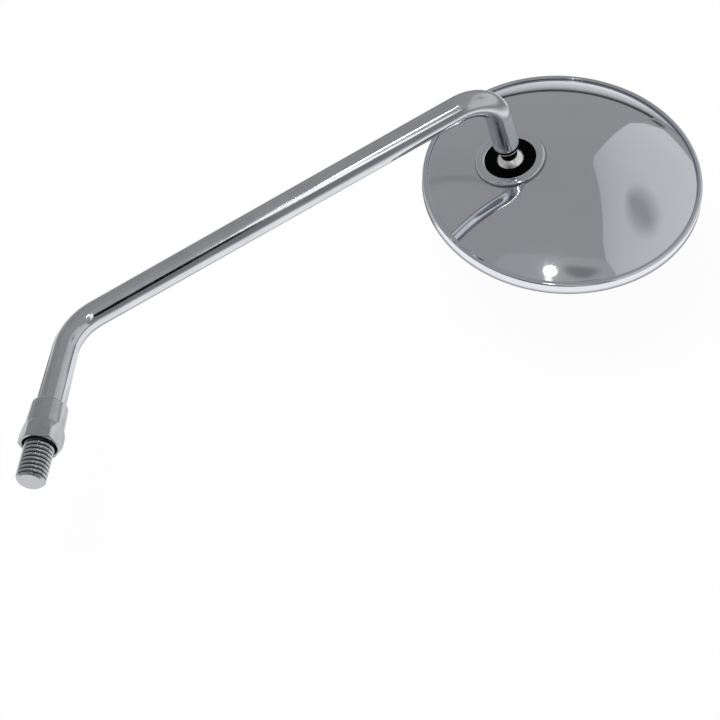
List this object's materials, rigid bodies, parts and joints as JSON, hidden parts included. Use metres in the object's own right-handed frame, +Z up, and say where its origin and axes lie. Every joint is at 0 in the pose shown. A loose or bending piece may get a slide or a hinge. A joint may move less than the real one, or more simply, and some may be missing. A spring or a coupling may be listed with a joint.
{
  "type": "motorcycle mirror",
  "caption": "Round rear-view mirror with a domed chrome back, on a ball joint at the end of a bent chrome rod with a threaded stud and lock nut.",
  "frame": {"origin": "on the stud's axis at the lock nut's lower face, where the stud enters what it is screwed into", "axes": "+Z up with the mirror lying back up on its bezel and a flat of the lock nut; the stud points to -Y; the head is on the +X side; in use the stud stands upright"},
  "size_m": [0.2124, 0.1983, 0.0516],
  "materials": {
    "rod_chrome": "bright chrome plate",
    "shell_chrome": "mirror chrome plate",
    "nut_chrome": "chrome plate",
    "seat_black": "gloss black",
    "cup_white": "moulded",
    "seal_rubber": "matte",
    "mirror_face": "silvered glass",
    "zinc_steel": "zinc plate",
    "spring_steel": "blued"
  },
  "bodies": {
    "stem": {"stem": "rod_chrome"},
    "lock_nut": {"lock_nut": "nut_chrome"},
    "ball_cup": {"ball_cup": "cup_white"},
    "ball_seat": {"ball_seat": "seat_black"},
    "head": {"shell": "shell_chrome", "bezel": "shell_chrome", "mirror_glass": "mirror_face", "glass_seal": "seal_rubber", "socket_ring": "shell_chrome", "inner_plate": "zinc_steel", "clamp_plate": "spring_steel", "clamp_screws": "zinc_steel", "spring_washers": "zinc_steel"}
  },
  "joints": [
    {"name": "lock_nut_run", "type": "slide", "parent": "stem", "child": "lock_nut", "axis": [0, -1, 0], "range_m": [0, 0.01]},
    {"name": "head_tilt", "type": "hinge", "parent": "stem", "child": "ball_cup", "pos_m": [0.13802, 0.13218, 0.00677], "axis": [0.2011, -0.9796, 0], "range_deg": [-15, 15]},
    {"name": "head_turn", "type": "hinge", "parent": "ball_cup", "child": "ball_seat", "pos_m": [0.13802, 0.13218, 0.00677], "axis": [-0.9578, -0.1966, -0.2096], "range_deg": [-15, 15]},
    {"name": "head_swivel", "type": "hinge", "parent": "ball_seat", "child": "head", "pos_m": [0.13802, 0.13218, 0.00677], "axis": [-0.2053, -0.0421, 0.9778], "continuous": true}
  ]
}
